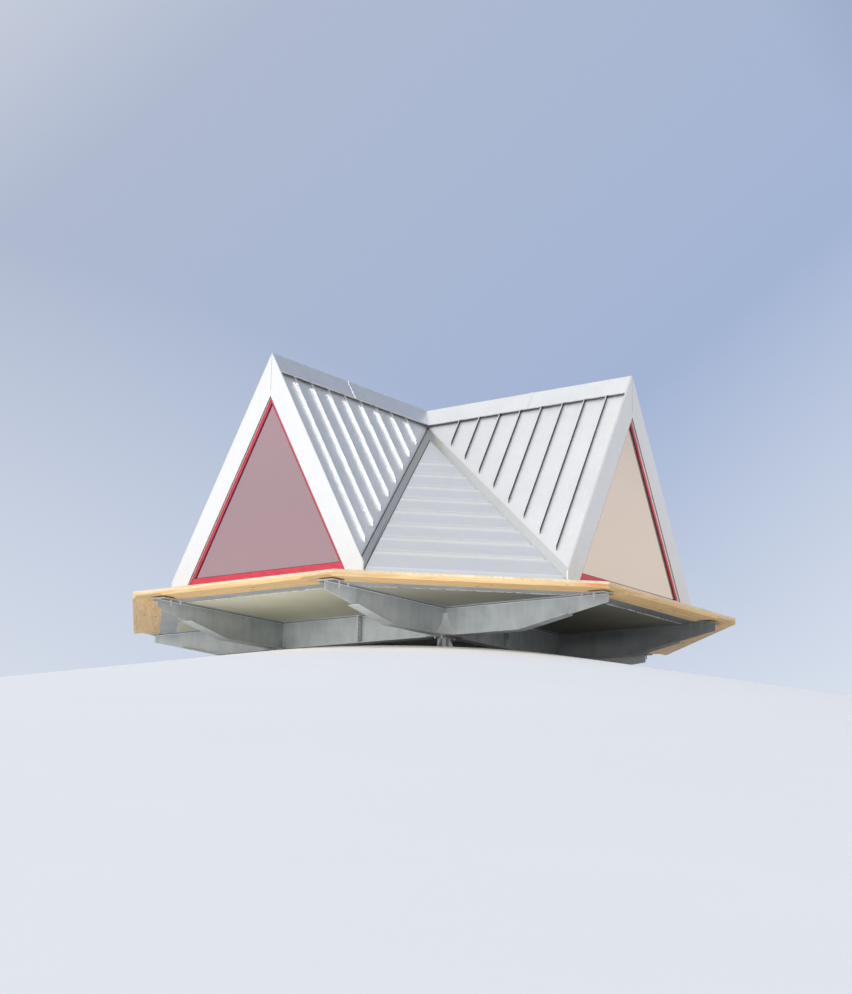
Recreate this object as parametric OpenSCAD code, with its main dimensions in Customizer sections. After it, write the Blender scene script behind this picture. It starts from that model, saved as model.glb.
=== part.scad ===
// Four-armed A-frame cabin on an octagonal timber deck.
// Two A-frame halls cross at right angles. Four low infill roofs fill the corners between the arms,
// so the roof is one folded shell of twelve thick plates, mitred along its ridges and valleys.
// The deck rests on a # grid of tapered steel plate girders with a foot under each crossing.
// Origin: centre of the plan, at the underside of the feet. The arms lie along X and Y, Z is up.

/* [Deck] */
// Length of each of the eight sides of the deck
deck_side = 4000; // [3700:50:4800]
// Thickness of the deck at its edge
deck_t = 100; // [80:5:140]
// Thickness of the boards under the rim of the deck
edge_board_t = 60; // [40:5:75]
// Width of the boards under the rim of the deck
edge_board_w = 450; // [300:10:600]
// Width of the galvanised strip inside the edge boards
rim_strip_w = 300; // [150:10:400]
// Thickness of the soffit boards
soffit_t = 12; // [8:1:20]

/* [Roof] */
// Distance from the centre of the plan to the face of each gable
arm_reach = 4080; // [3400:20:4600]
// Half the width of a gable at deck level, measured to the roof line
gable_half = 2030; // [1600:10:2400]
// Height of the roof line above the deck
ridge_h = 3670; // [3000:10:4400]
// Height of the upright skirt at the foot of the roof
skirt_h = 200; // [120:10:300]
// Depth of the whole roof, from the roof line to the ceiling
build_up = 315; // [250:1:400]
// How far below the ridges the infill roofs would meet over the centre
infill_fall = 228; // [120:4:400]
// How far outside the corners of the gables the slopes of the infill roofs meet the deck
infill_out = 163; // [0:1:300]

/* [Roof sheeting] */
// Distance between the standing seams of the arms
seam_pitch = 413; // [300:1:600]
// Distance between the standing seams of the infill roofs
infill_seam_pitch = 472; // [300:1:600]
// Height of the standing seams above the sheets
seam_h = 40; // [25:1:65]
// Width of the folded head of a seam
seam_head_w = 18; // [12:1:30]
// Thickness of the sheet with its felt
sheet_t = 6; // [3:1:12]
// Width of each wing of the ridge capping
cap_wing = 320; // [200:10:420]
// How far the capping stands above the roof line
cap_rise = 20; // [12:1:40]
// Thickness of the capping and its joint straps
cap_t = 4; // [2:1:8]
// Distance from the centre of the plan to the joint in each ridge capping
cap_joint = 2170; // [1200:10:3000]
// Width of the flashing strips along the valleys
flashing_w = 130; // [80:5:200]
// Height of the folded hem on the upper edge of each flashing strip
flashing_hem = 16; // [8:1:24]

/* [Gables] */
// Thickness of the white boards on the gables
fascia_t = 30; // [20:1:50]
// Height of the sill board under each window
sill_h = 130; // [80:5:180]
// Distance from the gable face back to the window frame
window_set_back = 40; // [35:1:120]
// Width of the raking bars of the red window frame seen from the front
frame_w = 50; // [40:5:110]
// Height of the bottom rail of the window frame
rail_h = 140; // [90:5:180]
// Depth of the red window frame
frame_d = 80; // [80:5:120]
// Distance from the face of the window frame back to the glass
glass_set_back = 20; // [12:1:40]
// Thickness of the glazing unit
glass_t = 24; // [16:1:32]
// How far the glass reaches into the frame on each side
rebate = 15; // [8:1:25]

/* [Girders] */
// Distance from the centre lines of the plan to the web of each girder
girder_offset = 1670; // [1300:10:1950]
// Depth of the girders between the feet
girder_h = 450; // [300:10:600]
// Depth of the girders at their tips
girder_tip_h = 135; // [100:5:220]
// Distance from the deck edge to the tip of a girder
girder_set_back = 200; // [100:10:400]
// Length of the tapered end of a girder
girder_taper = 1530; // [1000:10:2200]
// Width of the flanges
flange_w = 200; // [140:10:260]
// Thickness of the webs and flanges
plate_t = 12; // [8:1:20]
// Height of the feet under the girders
foot_h = 250; // [150:10:500]

/* [Hidden] */

// Open joint between pieces that meet face to face
joint = 0.5;
// Longer than anything in the model
far = 20000;

// Levels
deck_z = foot_h + girder_h + deck_t;
slab_z = foot_h + girder_h;

// Plan of the deck
deck_apothem = deck_side * (1 + sqrt(2)) / 2;

// Slopes of the two kinds of roof, and the half diagonal on which the infill roofs stand
arm_slope = atan(ridge_h / gable_half);
infill_reach = (arm_reach + gable_half + infill_out) / sqrt(2);
infill_top = ridge_h - infill_fall;
infill_slope = atan(infill_top / infill_reach);

// Depth of the sheets below the roof line. The seams reach up to it, and the capping stands on them.
pan_depth = seam_h;
hidden_gap = 1;

// The seams of the arms: the first clears the centre, and the rest follow at the pitch
first_seam = 800;
seam_end_gap = 70;
seam_stem_w = 8;
seam_head_h = 12;
last_seam = arm_reach - fascia_t - seam_pitch / 2;
seam_places = [first_seam : seam_pitch : last_seam];

// The infill seams count up from the skirt
infill_first_seam = 500;

// Where the roofs stop behind the gable boards
end_of_roof = arm_reach - fascia_t - joint;

// The roof line at the skirt
arm_toe = gable_half - skirt_h / tan(arm_slope);
infill_toe = infill_reach - skirt_h / tan(infill_slope);

// The roofs of the south arm and the south-east infill as planes, from the deck's centre
function unit(v) = v / norm(v);
arm_normal = unit([1 / gable_half, 0, 1 / ridge_h]);
infill_normal = unit([1, -1, sqrt(2) * infill_reach / infill_top]);
arm_d = arm_normal.z * ridge_h;
infill_d = infill_normal.z * infill_top;

// Where their sheets meet in the valley, as the distance from the centre line of the arm
valley_det = arm_normal.x * infill_normal.z - infill_normal.x * arm_normal.z;
valley_ratio = infill_normal.x * arm_normal.z / valley_det;
valley_start = ((arm_d - pan_depth) * infill_normal.z - (infill_d - pan_depth) * arm_normal.z) / valley_det;
function valley_x(reach) = valley_start + valley_ratio * reach;

// The mitre plane bisects the two roofs along the valley. The valleys start where the arms' own sheets
// part, for close to the centre the four arms meet each other.
valley_point = [valley_start, 0, (arm_d - pan_depth - arm_normal.x * valley_start) / arm_normal.z];
valley_line = unit(cross(arm_normal, infill_normal));
mitre_normal = unit(cross(valley_line, arm_normal + infill_normal));
mitre_d = mitre_normal * valley_point;

// Keeps what lies on the near side of a plane with this normal, at this distance from the deck's centre
module keep_behind(normal, distance)
    intersection() {
        children();
        rotate([0, acos(normal.z), atan2(normal.y, normal.x)])
            translate([-far, -far, distance - 2 * far]) cube(2 * far);
    }

// Puts what is modelled at deck level, facing south, where it belongs on one of the four sides
module on_deck(quarter = 0) translate([0, 0, deck_z]) rotate([0, 0, 90 * quarter]) children();

// Draws the east half, and the west half as its mirror image
module both_halves() {
    children();
    mirror([1, 0, 0]) children();
}

// Right half of the area under a roof line, at a depth below it, with the toe cut upright
module half_outline(base, slope, depth, toe) {
    apex = base * tan(slope) - depth / cos(slope);
    foot = min(toe, base - depth / sin(slope));
    polygon([[0, 0], [0, apex], [foot, apex - foot * tan(slope)], [foot, 0]]);
}

module arm_outline(depth, inset = 0)
    half_outline(gable_half, arm_slope, depth, arm_toe - inset);

module infill_outline(depth, inset = 0)
    half_outline(infill_reach, infill_slope, depth, infill_toe - inset);

// Extrudes a section drawn in x and z along the south arm, from one distance from the centre to another
module along_arm(from, to)
    translate([0, -from, 0]) rotate([90, 0, 0]) linear_extrude(to - from) children();

// Extrudes a section drawn outwards and up along the south-east infill roof
module across_infill(half_width)
    rotate([0, 0, -45]) translate([0, half_width, 0]) rotate([90, 0, 0])
        linear_extrude(2 * half_width) children();

// Cuts the arm's side of the valley at the mitre, and at the next arm near the centre, leaving a gap
module arm_side(gap)
    keep_behind(-mitre_normal, -(mitre_d + gap)) keep_behind(unit([1, 1, 0]), -gap) children();

// Cuts both sides of an infill roof at the mitres, parts it from its neighbours at the centre and
// stops it behind the gable boards
module infill_side(gap)
    intersection() {
        translate([joint / 2, -end_of_roof, 0])
            cube([end_of_roof - joint / 2, end_of_roof - joint / 2, ridge_h]);
        keep_behind(mitre_normal, mitre_d - gap)
            mirror([1, 1, 0]) keep_behind(mitre_normal, mitre_d - gap) mirror([1, 1, 0]) children();
    }

// Insulated timber panels

panel_inset = sheet_t + hidden_gap;

module arm_panel()
    arm_side(joint)
        along_arm(0, end_of_roof)
            intersection() {
                difference() {
                    arm_outline(pan_depth + panel_inset, panel_inset);
                    arm_outline(build_up);
                }
                translate([joint, 0]) square(far);
            }

module arm_panels(quarter)
    color("burlywood") on_deck(quarter) both_halves() arm_panel();

module infill_panel(quarter)
    color("burlywood") on_deck(quarter)
        infill_side(joint)
            across_infill(infill_reach)
                difference() {
                    infill_outline(pan_depth + panel_inset, panel_inset);
                    infill_outline(build_up);
                }

// Standing seam sheets

// One seam of the arm, from under the capping to short of the valley: a thin stem, with its head
// folded over towards the centre
module arm_seam(place) {
    run = valley_x(place) - (seam_end_gap - flashing_w / valley_line.y) * cos(arm_slope);
    near = place - seam_stem_w / 2;
    module strip(from, top, bottom)
        along_arm(from, near + seam_stem_w)
            intersection() {
                difference() {
                    arm_outline(top);
                    arm_outline(bottom);
                }
                translate([hidden_gap, 0]) square([run, far]);
            }
    strip(near, seam_head_h / 2, pan_depth + 1);
    strip(near + seam_stem_w - seam_head_w, joint, seam_head_h);
}

module arm_sheet() {
    arm_side(joint)
        along_arm(0, end_of_roof)
            intersection() {
                difference() {
                    arm_outline(pan_depth);
                    arm_outline(pan_depth + sheet_t, sheet_t);
                }
                translate([hidden_gap, 0]) square(far);
            }
    for (place = seam_places) arm_seam(place);
}

module arm_sheets(quarter)
    color("silver") on_deck(quarter) both_halves() arm_sheet();

// Half the width of the infill roof's sheet at this distance from the centre
function infill_half_width(reach) =
    (reach * (1 - valley_ratio) - sqrt(2) * valley_start) / (1 + valley_ratio);

// A seam across the infill roof, with its head folded over uphill
module infill_seam(reach) {
    half = infill_half_width(reach) - seam_end_gap;
    level = tan(infill_slope) * (infill_reach - reach);
    rotate([0, 0, -45]) translate([reach, -half, level]) rotate([0, infill_slope, 0]) {
        translate([-seam_stem_w, 0, -seam_h - 1]) cube([seam_stem_w, 2 * half, seam_h]);
        translate([-seam_head_w, 0, -seam_head_h]) cube([seam_head_w, 2 * half, seam_head_h]);
    }
}

infill_seam_step = infill_seam_pitch * cos(infill_slope);
infill_last_seam = infill_toe - infill_first_seam * cos(infill_slope);

module infill_sheet(quarter)
    color("lightgray") on_deck(quarter) {
        infill_side(joint)
            across_infill(infill_reach)
                difference() {
                    infill_outline(pan_depth);
                    infill_outline(pan_depth + sheet_t, sheet_t);
                }
        for (reach = [infill_last_seam : -infill_seam_step : 3 * seam_end_gap])
            if (infill_half_width(reach) > 3 * seam_end_gap) infill_seam(reach);
    }

// Valley flashings: a strip on each arm's sheet, thin along the valley and raised to its folded hem

flashing_t = 3;

// Square to the valley in the plane of the arm's sheet, from the hem towards the valley
across_valley = cross(arm_normal, valley_line);
flashing_tilt = unit(arm_normal + across_valley * (flashing_hem - flashing_t) / flashing_w);

module valley_flashing()
    arm_side(joint)
        keep_behind(flashing_tilt, flashing_tilt * (valley_point + flashing_t * arm_normal))
            keep_behind(-arm_normal, -(arm_d - pan_depth + joint))
                keep_behind(-across_valley, flashing_w - across_valley * valley_point)
                    translate([joint, joint - end_of_roof, 0]) cube([arm_toe - joint, end_of_roof, ridge_h]);

module valley_flashings() color("slategray")
    for (quarter = [0 : 3]) on_deck(quarter) both_halves() valley_flashing();

// Ridge capping: sheets folded over the ridge with turned-down edges, in two lengths on each arm.
// They are mitred at the centre, and a strap covers the joint of the two lengths.

// A point of the arm's section, so far down the slope from the ridge and so far above the roof line
function on_slope(down, above) = [
    down * cos(arm_slope) + above * sin(arm_slope),
    ridge_h - down * sin(arm_slope) + above * cos(arm_slope)];

// The same height above the roof line, on the centre line
function on_ridge(above) = [0, ridge_h + above / cos(arm_slope)];

strap_w = 50;

module cap_section()
    polygon([on_ridge(cap_rise), on_slope(cap_wing, cap_rise), on_slope(cap_wing, joint),
             on_slope(cap_wing - cap_t, joint), on_slope(cap_wing - cap_t, cap_rise - cap_t),
             on_ridge(cap_rise - cap_t)]);

module strap_section() {
    under = cap_rise + joint;
    polygon([on_ridge(under + cap_t), on_slope(cap_wing, under + cap_t),
             on_slope(cap_wing, under), on_ridge(under)]);
}

module cap_length(from, to)
    along_arm(from, to) {
        cap_section();
        mirror([1, 0]) cap_section();
    }

module ridge_cap(quarter)
    color("lightsteelblue") on_deck(quarter)
        keep_behind(unit([1, 1, 0]), -joint) keep_behind(unit([-1, 1, 0]), -joint) {
            cap_length(0, cap_joint - joint / 2);
            cap_length(cap_joint + joint / 2, end_of_roof);
            along_arm(cap_joint - strap_w / 2, cap_joint + strap_w / 2) {
                strap_section();
                mirror([1, 0]) strap_section();
            }
        }

// White gable boards: two raking boards that stand level with the capping, and a sill board

module raking_board()
    along_arm(arm_reach - fascia_t, arm_reach)
        intersection() {
            difference() {
                arm_outline(-cap_rise);
                arm_outline(build_up);
            }
            translate([joint, 0]) square(far);
        }

// The sill fills the foot of the gable, and its top slopes out under the window
module sill_board() {
    inner = gable_half - build_up / sin(arm_slope) - 2 * joint;
    narrow = sill_h / tan(arm_slope);
    fall = 12;
    intersection() {
        along_arm(frame_back, arm_reach)
            polygon([[-inner, 0], [inner, 0], [inner - narrow, sill_h], [-inner + narrow, sill_h]]);
        rotate([90, 0, -90]) linear_extrude(2 * inner, center = true)
            polygon([[frame_back, 0], [arm_reach, 0], [arm_reach, sill_h - fall],
                     [window_face, sill_h], [frame_back, sill_h]]);
    }
}

module gable_boards(quarter)
    color("white") on_deck(quarter) {
        both_halves() raking_board();
        sill_board();
    }

// Fixed triangular windows: two raking bars and a bottom rail, rebated round one pane

window_face = arm_reach - window_set_back;
frame_back = window_face - frame_d;
glass_face = window_face - glass_set_back;
glass_back = glass_face - glass_t;

// The window's outline, drawn in from the ceiling line by an inset, above a base line
module window_triangle(inset, base) {
    apex = ridge_h - (build_up + inset) / cos(arm_slope);
    half = (apex - base) / tan(arm_slope);
    polygon([[-half, base], [half, base], [0, apex]]);
}

module raking_bar(width)
    intersection() {
        difference() {
            window_triangle(joint, sill_h + joint);
            window_triangle(width, 0);
        }
        translate([joint / 2, 0]) square(far);
    }

// The rail stands between the raking bars
module bottom_rail(height)
    intersection() {
        window_triangle(frame_w + joint, sill_h + joint);
        translate([-far, 0]) square([2 * far, sill_h + height]);
    }

// One layer of the frame's depth, cut back where the glass reaches into it
module frame_layer(from, to, cut)
    along_arm(from, to) {
        raking_bar(frame_w - cut);
        mirror([1, 0]) raking_bar(frame_w - cut);
        bottom_rail(rail_h - cut);
    }

module window_frame(quarter)
    color("crimson") on_deck(quarter) {
        frame_layer(frame_back, glass_back - joint, 0);
        frame_layer(glass_back - joint, glass_face + joint, rebate);
        frame_layer(glass_face + joint, window_face, 0);
    }

module window_pane(quarter)
    color("rosybrown", 0.5) on_deck(quarter)
        along_arm(glass_back, glass_face)
            window_triangle(frame_w - rebate + joint, sill_h + rail_h - rebate + joint);

// Raised floor inside the walls, as high as the skirt

module floor_plan() {
    clear = 2;
    arm_half = gable_half - build_up / sin(arm_slope) - skirt_h / tan(arm_slope) - clear;
    corner = infill_reach - build_up / sin(infill_slope) - skirt_h / tan(infill_slope) - clear;
    end = frame_back - clear;
    for (turn = [0, 90]) rotate(turn) square([2 * arm_half, 2 * end], center = true);
    intersection() {
        rotate(45) square(2 * corner, center = true);
        square(2 * end, center = true);
    }
}

module floor() color("tan") on_deck() linear_extrude(skirt_h) floor_plan();

// Octagonal deck

module octagon(apothem) rotate(22.5) circle(r = apothem / cos(22.5), $fn = 8);

module deck_slab()
    color("wheat") translate([0, 0, slab_z]) {
        translate([0, 0, edge_board_t]) linear_extrude(deck_t - edge_board_t - joint) octagon(deck_apothem);
        translate([0, 0, soffit_t + joint])
            linear_extrude(edge_board_t) octagon(deck_apothem - edge_board_w - joint);
    }

// A ring of eight mitred pieces
module octagon_ring(outer, width)
    for (i = [0 : 7]) rotate(45 * i) {
        inner = outer - width;
        polygon([[-outer * tan(22.5) + joint, outer], [outer * tan(22.5) - joint, outer],
                 [inner * tan(22.5) - joint, inner], [-inner * tan(22.5) + joint, inner]]);
    }

// Pocket over each girder's head, open at the deck edge
pocket_w = 620;
pocket_h = 34;
pocket_slant = 70;

module at_girder_tips()
    for (turn = [0 : 3], side = [-1, 1]) rotate(90 * turn) translate([side * girder_offset, -deck_apothem, 0])
        children();

module edge_boards()
    color("burlywood") translate([0, 0, slab_z]) difference() {
        linear_extrude(edge_board_t - joint) octagon_ring(deck_apothem, edge_board_w);
        at_girder_tips() translate([0, edge_board_w, 0]) rotate([90, 0, 0]) linear_extrude(edge_board_w + 1)
            polygon([[-pocket_w / 2, -1], [pocket_w / 2, -1],
                     [pocket_w / 2 - pocket_slant, pocket_h], [-pocket_w / 2 + pocket_slant, pocket_h]]);
    }

module rim_strip()
    color("gray") translate([0, 0, slab_z + joint]) linear_extrude(soffit_t - joint)
        octagon_ring(deck_apothem - edge_board_w - 2 * joint, rim_strip_w - 3 * joint);

module soffit()
    color("lemonchiffon") translate([0, 0, slab_z + joint]) linear_extrude(soffit_t - joint)
        octagon(deck_apothem - edge_board_w - rim_strip_w);

// Girders: welded plates with a web that tapers to the tip. Each is two halves, bolted end to end.

girder_half = deck_apothem - girder_set_back;
taper_end = girder_half - girder_taper;
taper_angle = atan((girder_h - girder_tip_h) / girder_taper);
bottom_flange_end = 680;
head_w = 300;
head_l = edge_board_w - girder_set_back - 2 * joint;
head_rise = 12;
splice_t = 20;

// Side view of the web, the top at zero, from the middle to one tip
module web_half()
    polygon([[joint / 2, -plate_t / 2], [girder_half, -plate_t / 2], [girder_half, -girder_tip_h],
             [taper_end, -girder_h + plate_t / 2], [joint / 2, -girder_h + plate_t / 2]]);

// Side view of the bottom flange, which follows the taper and stops short of the tip
module bottom_flange_half() {
    stop = girder_half - bottom_flange_end;
    rise = (stop - taper_end) * tan(taper_angle);
    polygon([[joint / 2, -girder_h], [taper_end, -girder_h], [stop, -girder_h + rise],
             [stop, -girder_h + rise + plate_t], [taper_end, -girder_h + plate_t],
             [joint / 2, -girder_h + plate_t]]);
}

// Extrudes a side view drawn along y by a width across the girder
module girder_plate(width)
    rotate([90, 0, 90]) translate([0, 0, -width / 2]) linear_extrude(width) children();

// A girder along y with its top face at zero
module plate_girder()
    for (side = [0, 1]) mirror([0, side, 0]) {
        girder_plate(plate_t) web_half();
        girder_plate(flange_w) bottom_flange_half();
        translate([-flange_w / 2, joint / 2, -plate_t]) cube([flange_w, girder_half - joint / 2, plate_t]);
        translate([-head_w / 2, girder_half - head_l, -plate_t]) cube([head_w, head_l, plate_t + head_rise]);
        translate([-flange_w / 2, joint / 2, -girder_h]) cube([flange_w, splice_t, girder_h]);
    }

module girder(side)
    color("slategray") translate([side * girder_offset, 0, slab_z]) plate_girder();

// The cross girders are cut to fit between the webs and flanges of the long ones
module cope() {
    cut = 2 * joint;
    for (side = [-1, 1]) translate([side * girder_offset, 0, 0]) {
        translate([-plate_t / 2 - joint, -flange_w, -girder_h - 1])
            cube([plate_t + cut, 2 * flange_w, girder_h + 2]);
        for (level = [-plate_t - joint, -girder_h - 1])
            translate([-flange_w / 2 - joint, -flange_w, level])
                cube([flange_w + cut, 2 * flange_w, plate_t + joint + 1]);
    }
}

module cross_girder(side)
    color("slategray") translate([0, side * girder_offset, slab_z]) difference() {
        rotate([0, 0, 90]) plate_girder();
        cope();
    }

// Curved gussets in the outer corner of each crossing: rolled plates that flare down to the flanges
gusset_t = 10;
gusset_r = 446;
gusset_top = 35;
gusset_gap = 75;

module corner_gusset() {
    height = girder_h - 2 * plate_t - gusset_gap;
    foot_z = -girder_h + plate_t + joint;
    intersection() {
        rotate([0, 0, 45]) rotate([90, 0, 0]) linear_extrude(2 * girder_h, center = true) intersection() {
            translate([gusset_top + gusset_r, foot_z + height]) difference() {
                circle(gusset_r, $fn = 240);
                circle(gusset_r - gusset_t, $fn = 240);
            }
            translate([0, foot_z]) square([girder_h, height]);
        }
        translate([plate_t / 2 + joint, plate_t / 2 + joint, -girder_h]) cube(girder_h);
    }
}

module corner_gussets() color("lightgray")
    for (turn = [0 : 3]) rotate([0, 0, 90 * turn]) translate([girder_offset, girder_offset, slab_z])
        corner_gusset();

// Feet: a post between a cap plate and a base plate, with four ribs
cap_plate = 420;
cap_plate_t = 16;
post_w = 160;
base_plate = 460;
base_plate_t = 20;
rib_t = 12;
rib_reach = 120;

module foot() {
    top = foot_h - joint;
    translate([-base_plate / 2, -base_plate / 2, 0]) cube([base_plate, base_plate, base_plate_t]);
    translate([-cap_plate / 2, -cap_plate / 2, top - cap_plate_t]) cube([cap_plate, cap_plate, cap_plate_t]);
    translate([-post_w / 2, -post_w / 2, 0]) cube([post_w, post_w, top]);
    for (turn = [0 : 3]) rotate([0, 0, 90 * turn]) rotate([90, 0, 0]) linear_extrude(rib_t, center = true)
        polygon([[0, 0], [post_w / 2 + rib_reach, 0], [post_w / 2 + rib_reach, base_plate_t + rib_t],
                 [post_w / 2, foot_h - 2 * cap_plate_t], [0, foot_h - 2 * cap_plate_t]]);
}

module feet() color("dimgray")
    for (x = [-1, 1], y = [-1, 1]) translate([x * girder_offset, y * girder_offset, 0]) foot();

arm_panels(0);  // arm_panels_south
arm_panels(1);  // arm_panels_east
arm_panels(2);  // arm_panels_north
arm_panels(3);  // arm_panels_west
infill_panel(0);  // infill_panel_southeast
infill_panel(1);  // infill_panel_northeast
infill_panel(2);  // infill_panel_northwest
infill_panel(3);  // infill_panel_southwest
arm_sheets(0);  // arm_sheets_south
arm_sheets(1);  // arm_sheets_east
arm_sheets(2);  // arm_sheets_north
arm_sheets(3);  // arm_sheets_west
infill_sheet(0);  // infill_sheet_southeast
infill_sheet(1);  // infill_sheet_northeast
infill_sheet(2);  // infill_sheet_northwest
infill_sheet(3);  // infill_sheet_southwest
ridge_cap(0);  // ridge_cap_south
ridge_cap(1);  // ridge_cap_east
ridge_cap(2);  // ridge_cap_north
ridge_cap(3);  // ridge_cap_west
gable_boards(0);  // gable_boards_south
gable_boards(1);  // gable_boards_east
gable_boards(2);  // gable_boards_north
gable_boards(3);  // gable_boards_west
window_frame(0);  // window_frame_south
window_frame(1);  // window_frame_east
window_frame(2);  // window_frame_north
window_frame(3);  // window_frame_west
window_pane(0);  // window_pane_south
window_pane(1);  // window_pane_east
window_pane(2);  // window_pane_north
window_pane(3);  // window_pane_west
valley_flashings();
floor();
deck_slab();
edge_boards();
rim_strip();
soffit();
girder(-1);  // girder_west
girder(1);  // girder_east
cross_girder(-1);  // cross_girder_south
cross_girder(1);  // cross_girder_north
corner_gussets();
feet();
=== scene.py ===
import math
from itertools import product
import bmesh
import bpy
from mathutils import Matrix, Vector, noise


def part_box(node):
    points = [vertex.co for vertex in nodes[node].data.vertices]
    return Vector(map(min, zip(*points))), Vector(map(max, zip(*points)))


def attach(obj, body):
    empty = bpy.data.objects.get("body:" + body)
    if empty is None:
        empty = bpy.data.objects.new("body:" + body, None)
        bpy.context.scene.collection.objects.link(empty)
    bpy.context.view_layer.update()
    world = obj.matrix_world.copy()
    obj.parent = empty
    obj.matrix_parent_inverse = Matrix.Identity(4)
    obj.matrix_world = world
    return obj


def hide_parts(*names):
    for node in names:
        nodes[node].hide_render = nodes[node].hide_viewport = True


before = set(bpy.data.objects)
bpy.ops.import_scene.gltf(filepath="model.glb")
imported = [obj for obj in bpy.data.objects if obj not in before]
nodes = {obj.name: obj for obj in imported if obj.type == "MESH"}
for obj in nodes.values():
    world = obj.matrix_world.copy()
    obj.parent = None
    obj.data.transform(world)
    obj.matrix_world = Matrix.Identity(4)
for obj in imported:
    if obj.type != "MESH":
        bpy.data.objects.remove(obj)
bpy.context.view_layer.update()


# Feet: a short welded post between two plates under each crossing of the girders.
# They are hot dip galvanised steel that has weathered dark. Anchor bolts hold the base plates down,
# and four bolts clamp each cap plate to the girder's flange.

def add_node(material, kind, values=None, **settings):
    """Adds a shader node. Values fill its sockets with numbers, or with outputs of other nodes."""
    tree = material.node_tree
    made = tree.nodes.new("ShaderNode" + kind)
    for key, value in settings.items():
        setattr(made, key, value)
    for key, value in (values or {}).items():
        if isinstance(value, bpy.types.NodeSocket):
            tree.links.new(value, made.inputs[key])
        else:
            made.inputs[key].default_value = value
    return made


def plain_place(material):
    """Where a point lies in the cabin's own frame, in metres."""
    return add_node(material, "TexCoord").outputs["Object"]


def scaled(material, place, scale=(1, 1, 1)):
    return add_node(material, "Mapping", {"Vector": place, "Scale": scale}).outputs["Vector"]


def place_of(material, scale=(1, 1, 1)):
    return scaled(material, plain_place(material), scale)


def work_out(material, first, step, second=None):
    """One step of arithmetic on factors, such as clouds MULTIPLY 0.6."""
    values = {0: first} if second is None else {0: first, 1: second}
    return add_node(material, "Math", values, operation=step).outputs["Value"]


def work_out_vector(material, first, step, second=None):
    """One step of arithmetic on vectors. A distance or a dot product gives a factor."""
    values = {0: first} if second is None else {0: first, 1: second}
    made = add_node(material, "VectorMath", values, operation=step)
    return made.outputs["Value" if step in ("DISTANCE", "DOT_PRODUCT") else "Vector"]


def noise_of(material, place, scale, detail=4.0, roughness=0.55, distortion=0.0):
    values = {"Vector": place, "Scale": scale, "Detail": detail,
              "Roughness": roughness, "Distortion": distortion}
    return add_node(material, "TexNoise", values).outputs["Fac"]


def weighed(material, first, share, second):
    """The mean of two factors, with the first one's share in it."""
    first = work_out(material, first, "MULTIPLY", share)
    second = work_out(material, second, "MULTIPLY", 1 - share)
    return work_out(material, first, "ADD", second)


def ramp_of(material, factor, stops):
    """Turns a factor into a colour, by stops of a position and a colour or a grey."""
    ramp = add_node(material, "ValToRGB", {"Fac": factor})
    band = ramp.color_ramp
    while len(band.elements) < len(stops):
        band.elements.new(0.5)
    for element, (position, shade) in zip(band.elements, stops):
        element.position = position
        element.color = (*shade, 1) if isinstance(shade, tuple) else (shade, shade, shade, 1)
    return ramp.outputs["Color"]


def mix_of(material, factor, first, second, blend="MIX"):
    mixer = add_node(material, "Mix", data_type="RGBA", blend_type=blend)
    for socket, value in ((0, factor), (6, first), (7, second)):
        if isinstance(value, bpy.types.NodeSocket):
            material.node_tree.links.new(value, mixer.inputs[socket])
        elif isinstance(value, tuple):
            mixer.inputs[socket].default_value = (*value, 1)
        else:
            mixer.inputs[socket].default_value = value
    return mixer.outputs[2]


def shader_of(material):
    return material.node_tree.nodes["Principled BSDF"]


def finish_of(material, colour=None, rough=None, height=None, height_m=0.001):
    """Links a colour, a roughness and a bump height to the material's shader."""
    tree = material.node_tree
    shader = shader_of(material)
    if colour:
        tree.links.new(colour, shader.inputs["Base Color"])
    if rough:
        tree.links.new(rough, shader.inputs["Roughness"])
    if height:
        bump = add_node(material, "Bump", {"Height": height, "Strength": 1.0, "Distance": height_m})
        tree.links.new(bump.outputs["Normal"], shader.inputs["Normal"])
    return material


def new_material(name, **sockets):
    """A plain material, with constants on its shader's own sockets."""
    material = bpy.data.materials.new(name)
    material.use_nodes = True
    for key, value in sockets.items():
        shader_of(material).inputs[key.replace("_", " ").title()].default_value = value
    return material


def paint_nodes(material, *names):
    """Gives a material to nodes of the frame."""
    for name in names:
        mesh = nodes[name].data
        mesh.materials.clear()
        mesh.materials.append(material)


def painted_shade_along(material, place, axis, start, stop, darkest):
    """A factor that falls from 1 along an axis: painted shade that darkens the underside further along it.
    """
    along = work_out_vector(material, place, "DOT_PRODUCT", Vector(axis).normalized())
    past = work_out(material, along, "SUBTRACT", start)
    return ramp_of(material, work_out(material, past, "DIVIDE", stop - start), [(0.0, 1.0), (1.0, darkest)])


def galvanised(name, dark, mid, light, gloss=0.38):
    """Zinc coated steel: cloudy patches, fine spangle and soft runs down the faces, with painted shade
    towards the north east.
    """
    zinc = new_material(name, metallic=0.22)
    place = place_of(zinc)
    clouds = noise_of(zinc, place, 2.3, detail=5, distortion=0.6)
    runs = noise_of(zinc, place_of(zinc, (7, 7, 0.7)), 1.0, detail=4)
    cells = add_node(zinc, "TexVoronoi", {"Vector": place, "Scale": 70}).outputs["Color"]
    spangle = add_node(zinc, "RGBToBW", {"Color": cells}).outputs["Val"]
    shade = ramp_of(zinc, weighed(zinc, clouds, 0.62, runs), [(0.36, dark), (0.5, mid), (0.64, light)])
    shade = mix_of(zinc, 0.10, shade, ramp_of(zinc, spangle, [(0.2, dark), (0.8, light)]))
    # Painted shade: the zinc is darkened towards the north east.
    shade = mix_of(zinc, 1.0, shade, painted_shade_along(zinc, place, (0.55, 0.83, 0), 0.4, 2.6, 0.42), "MULTIPLY")
    patches = work_out(zinc, clouds, "ADD", work_out(zinc, spangle, "MULTIPLY", 0.25))
    rough = ramp_of(zinc, patches, [(0.3, gloss), (0.9, gloss + 0.22)])
    return finish_of(zinc, shade, rough, noise_of(zinc, place, 260, detail=2), 0.0004)


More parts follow.
